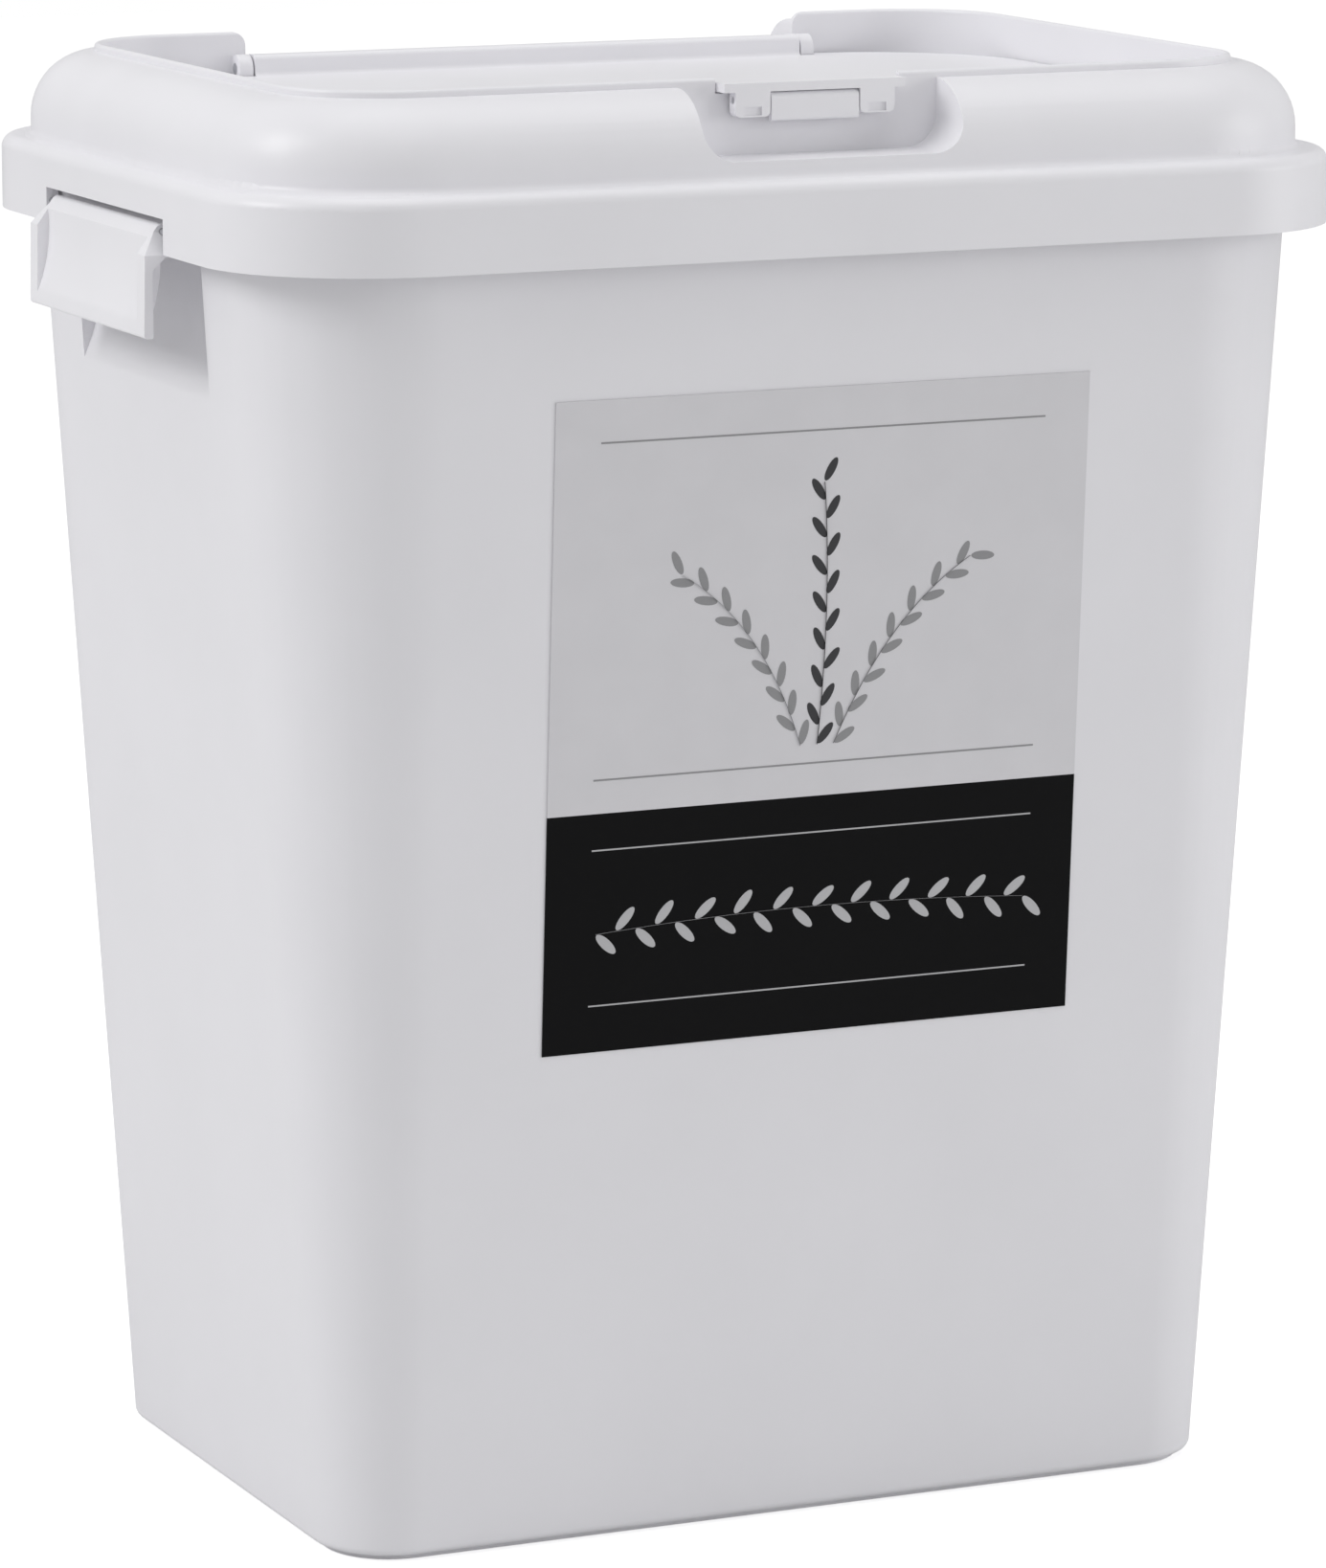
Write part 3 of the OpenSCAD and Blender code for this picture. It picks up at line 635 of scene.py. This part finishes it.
@dataclass
class Label:
    """The film on the front wall and the plain design printed on it."""

    film_thickness: float = 0.0004
    ink_lift: float = 0.00006
    stem_steps: int = 32
    grain_corners: int = 20
    grain_offset: float = 0.55
    least_lean: float = 0.85
    most_lean: float = 1.15
    rule_reach: float = 0.080
    upper_rules: tuple[float, float] = (0.0915, 0.2030)
    upper_rule_width: float = 0.0006
    band_rules: tuple[float, float] = (0.0155, 0.0680)
    band_rule_width: float = 0.0005
    corners: tuple[Vector, Vector] = field(default_factory=lambda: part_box("front_label"))

    def to_wall(self) -> Matrix:
        """The matrix from the print's own plane to the outer face of the film.

        Returns:
            A matrix that takes x to the right, y up the film and z out of it.
        """
        low, high = self.corners
        height = high.z - low.z
        run = high.y - self.film_thickness - low.y
        up = Vector((0.0, -run, height)).normalized()
        right = Vector((1.0, 0.0, 0.0))
        out = right.cross(up)
        origin = Vector((0.0, high.y - self.film_thickness, low.z))
        turn = Matrix((right, up, out)).transposed().to_4x4()
        return Matrix.Translation(origin) @ turn

    def lay(self, piece: bpy.types.Object) -> None:
        """Places a printed piece on the film and makes it ride with the bucket."""
        piece.data.transform(self.to_wall() @ Matrix.Translation((0, 0, self.ink_lift)))
        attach(piece, "bucket_body")
        log.info("%s: printed on the film, %d faces", piece.name, len(piece.data.polygons))

    def ear_tree(self, material: bpy.types.Material) -> bpy.types.GeometryNodeTree:
        """A tree that sets flat grains in pairs along a curved stem.

        Args:
            material: the ink.

        Returns:
            The tree, with the stem's ends, its bow, the number of grains, their size,
            their lean and the seed as inputs.
        """
        tree = bpy.data.node_groups.new("printed_ear", "GeometryNodeTree")
        face = tree.interface
        for name, kind in (
            ("Start", "Vector"), ("Middle", "Vector"), ("End", "Vector"), ("Grains", "Int"),
            ("Grain Length", "Float"), ("Grain Width", "Float"), ("Lean", "Float"),
            ("Stem Width", "Float"), ("Seed", "Int"),
        ):
            socket = face.new_socket(name, in_out="INPUT", socket_type=f"NodeSocket{kind}")
            socket.default_value = MIDDLE_EAR.inputs()[name]
        face.new_socket("Geometry", in_out="OUTPUT", socket_type="NodeSocketGeometry")
        w = Wiring(tree)
        given = w.add("NodeGroupInput").outputs
        stem = w.add("GeometryNodeCurveQuadraticBezier", None, Resolution=self.stem_steps,
                     Start=given["Start"], Middle=given["Middle"], End=given["End"])
        points = w.add("GeometryNodeCurveToPoints", {"mode": "COUNT"},
                       Curve=stem.outputs[0], Count=given["Grains"])
        index = w.add("GeometryNodeInputIndex").outputs[0]
        odd = w.math("SUBTRACT", w.math("MULTIPLY", w.math("MODULO", index, 2.0), 2.0), 1.0)
        jitter = w.add("FunctionNodeRandomValue", {"data_type": "FLOAT"}, Seed=given["Seed"])
        jitter.inputs[2].default_value = self.least_lean
        jitter.inputs[3].default_value = self.most_lean
        lean = w.math("MULTIPLY", w.math("MULTIPLY", odd, given["Lean"]), jitter.outputs[1])
        tangent = w.add("ShaderNodeSeparateXYZ", None, Vector=points.outputs["Tangent"])
        along = w.math("ARCTAN2", tangent.outputs["Y"], tangent.outputs["X"])
        turn = w.add("ShaderNodeCombineXYZ", None, Z=w.math("ADD", along, lean))
        shape = w.add("GeometryNodeMeshCircle", {"fill_type": "NGON"},
                      Vertices=self.grain_corners, Radius=0.5)
        half = w.add("ShaderNodeCombineXYZ", None, X=self.grain_offset)
        moved = w.add("GeometryNodeTransform", None, Geometry=shape.outputs[0],
                      Translation=half.outputs[0])
        size = w.add("ShaderNodeCombineXYZ", None, X=given["Grain Length"],
                     Y=given["Grain Width"], Z=1.0)
        grains = w.add("GeometryNodeInstanceOnPoints", None, Points=points.outputs[0],
                       Instance=moved.outputs[0], Rotation=turn.outputs[0],
                       Scale=size.outputs[0])
        ribbon = w.add("GeometryNodeCurvePrimitiveLine", {"mode": "POINTS"})
        ribbon.inputs["Start"].default_value = (0.0, -0.5, 0.0)
        ribbon.inputs["End"].default_value = (0.0, 0.5, 0.0)
        thin = w.add("GeometryNodeTransform", None, Geometry=ribbon.outputs[0],
                     Scale=w.add("ShaderNodeCombineXYZ", None, X=given["Stem Width"],
                                 Y=given["Stem Width"], Z=1.0).outputs[0])
        line = w.add("GeometryNodeCurveToMesh", None, Curve=stem.outputs[0],
                     Profile_Curve=thin.outputs[0])
        both = w.add("GeometryNodeJoinGeometry")
        tree.links.new(grains.outputs[0], both.inputs[0])
        tree.links.new(line.outputs[0], both.inputs[0])
        real = w.add("GeometryNodeRealizeInstances", None, Geometry=both.outputs[0])
        inked = w.add("GeometryNodeSetMaterial", None, Geometry=real.outputs[0],
                      Material=material)
        w.add("NodeGroupOutput", None, Geometry=inked.outputs[0])
        return tree

    def rules(self, name: str, ink: bpy.types.Material, heights: tuple[float, ...],
              width: float) -> None:
        """Prints a set of thin level rules.

        Args:
            name: name of the piece.
            ink: the ink.
            heights: height of each rule over the foot of the film, in metres.
            width: width of a rule, in metres.
        """
        left, right = -self.rule_reach, self.rule_reach
        work = bmesh.new()
        for low in heights:
            high = low + width
            corners = [(left, low), (right, low), (right, high), (left, high)]
            work.faces.new([work.verts.new((x, y, 0.0)) for x, y in corners])
        mesh = bpy.data.meshes.new(name)
        work.to_mesh(mesh)
        work.free()
        mesh.materials.append(ink)
        piece = bpy.data.objects.new(name, mesh)
        bpy.context.scene.collection.objects.link(piece)
        self.lay(piece)

    def ear(self, ear: Ear, ink: bpy.types.Material) -> None:
        """Prints a stem with its grains.

        Args:
            ear: what is printed.
            ink: the ink.
        """
        self.lay(bake_geometry(ear.name, self.ear_tree(ink), ear.inputs()))

    def build(self) -> None:
        """Dresses the film and prints the design: three ears, and a row in the band."""
        dress("front_label", LABEL_FINISH.build())
        dark, mid, pale = DARK_INK.build(), MID_INK.build(), PALE_INK.build()
        self.ear(MIDDLE_EAR, dark)
        self.ear(LEFT_EAR, mid)
        self.ear(RIGHT_EAR, mid)
        self.rules("print_rules_upper", mid, self.upper_rules, self.upper_rule_width)
        self.ear(BAND_ROW, pale)
        self.rules("print_rules_band", pale, self.band_rules, self.band_rule_width)


# ------------------------------------------------------------------- studio


@dataclass(frozen=True)
class Lamp:
    """A soft rectangular lamp that looks at the bin."""

    name: str
    place: Point
    size: tuple[float, float]
    power: float
    target: Point = (0.0, 0.0, 0.25)

    def build(self) -> None:
        """Places the lamp."""
        data = bpy.data.lights.new(self.name, "AREA")
        data.shape = "RECTANGLE"
        data.size, data.size_y = self.size
        data.energy = self.power
        lamp = bpy.data.objects.new(self.name, data)
        lamp.location = self.place
        look = Vector(self.target) - Vector(self.place)
        lamp.rotation_euler = look.to_track_quat("-Z", "Y").to_euler()
        bpy.context.scene.collection.objects.link(lamp)


@dataclass
class Studio:
    """The floor, the lamps, the world and the camera."""

    azimuth: float = -24.23
    elevation: float = 10.62
    distance: float = 2.486
    target: Point = (0.0019, 0.0, 0.2316)
    focal_pixels: float = 7515.0
    image_height: float = 1638.0
    sensor: float = 36.0
    ambient: float = 0.485
    clip: tuple[float, float] = (0.05, 50.0)
    floor_size: float = 12.0
    floor_tone: float = 0.80
    floor_roughness: float = 0.9
    floor_glow: float = 0.64
    lamps: tuple[Lamp, ...] = (
        Lamp("key_left", (-2.8, 0.35, 2.1), (1.4, 1.4), 36.3),
        Lamp("top_soft", (0.2, -0.2, 2.8), (2.4, 2.4), 18.9),
        Lamp("right_fill", (3.0, -1.9, 0.9), (1.8, 1.8), 29.7),
    )

    def floor(self) -> None:
        """Lays the pale floor, which the camera sees as white outside the shadow."""
        half = self.floor_size / 2
        mesh = bpy.data.meshes.new("floor")
        corners = [(-half, -half, 0), (half, -half, 0), (half, half, 0), (-half, half, 0)]
        mesh.from_pydata(corners, [], [(0, 1, 2, 3)])
        ground = bpy.data.objects.new("floor", mesh)
        bpy.context.scene.collection.objects.link(ground)
        material = bpy.data.materials.new("pale_floor")
        material.use_nodes = True
        wires = Wiring(material.node_tree)
        matt = material.node_tree.nodes["Principled BSDF"]
        matt.inputs["Base Color"].default_value = (*(self.floor_tone,) * 3, 1.0)
        matt.inputs["Roughness"].default_value = self.floor_roughness
        path = wires.add("ShaderNodeLightPath")
        seen = wires.math("MULTIPLY", path.outputs["Is Camera Ray"], self.floor_glow)
        glow = wires.add("ShaderNodeEmission", None, Strength=seen)
        both = wires.add("ShaderNodeAddShader", None)
        material.node_tree.links.new(matt.outputs[0], both.inputs[0])
        material.node_tree.links.new(glow.outputs[0], both.inputs[1])
        wires.put(material.node_tree.nodes["Material Output"], "Surface", both.outputs[0])
        mesh.materials.append(material)

    def world(self) -> None:
        """Sets the even ambient light, with white behind the object for the camera."""
        world = bpy.data.worlds.new("studio")
        bpy.context.scene.world = world
        world.use_nodes = True
        wires = Wiring(world.node_tree)
        path = wires.add("ShaderNodeLightPath")
        white = wires.math("MAXIMUM", path.outputs["Is Camera Ray"], self.ambient)
        back = world.node_tree.nodes["Background"]
        back.inputs["Color"].default_value = (1.0, 1.0, 1.0, 1.0)
        wires.put(back, "Strength", white)

    def camera(self) -> None:
        """Stands the camera where the photograph was taken from."""
        a, e = math.radians(self.azimuth), math.radians(self.elevation)
        back = Vector((math.sin(a) * math.cos(e), -math.cos(a) * math.cos(e), math.sin(e)))
        data = bpy.data.cameras.new("camera")
        data.sensor_width = self.sensor
        data.lens = self.focal_pixels / self.image_height * self.sensor
        data.clip_start, data.clip_end = self.clip
        camera = bpy.data.objects.new("camera", data)
        camera.location = Vector(self.target) + back * self.distance
        camera.rotation_mode = "QUATERNION"
        camera.rotation_quaternion = (-back).to_track_quat("-Z", "Y")
        bpy.context.scene.collection.objects.link(camera)
        bpy.context.scene.camera = camera

    def build(self) -> None:
        """Builds the whole studio."""
        bpy.context.scene.view_settings.view_transform = "Standard"
        self.camera()
        self.world()
        self.floor()
        for lamp in self.lamps:
            lamp.build()


def main() -> None:
    """Builds the studio and the pieces in order."""
    Studio().build()
    Bucket().build()
    LidFrame().build()
    FlipLid().build()
    FrontLatch().build()
    SideClips().build()
    Label().build()


if __name__ == "__main__":
    main()
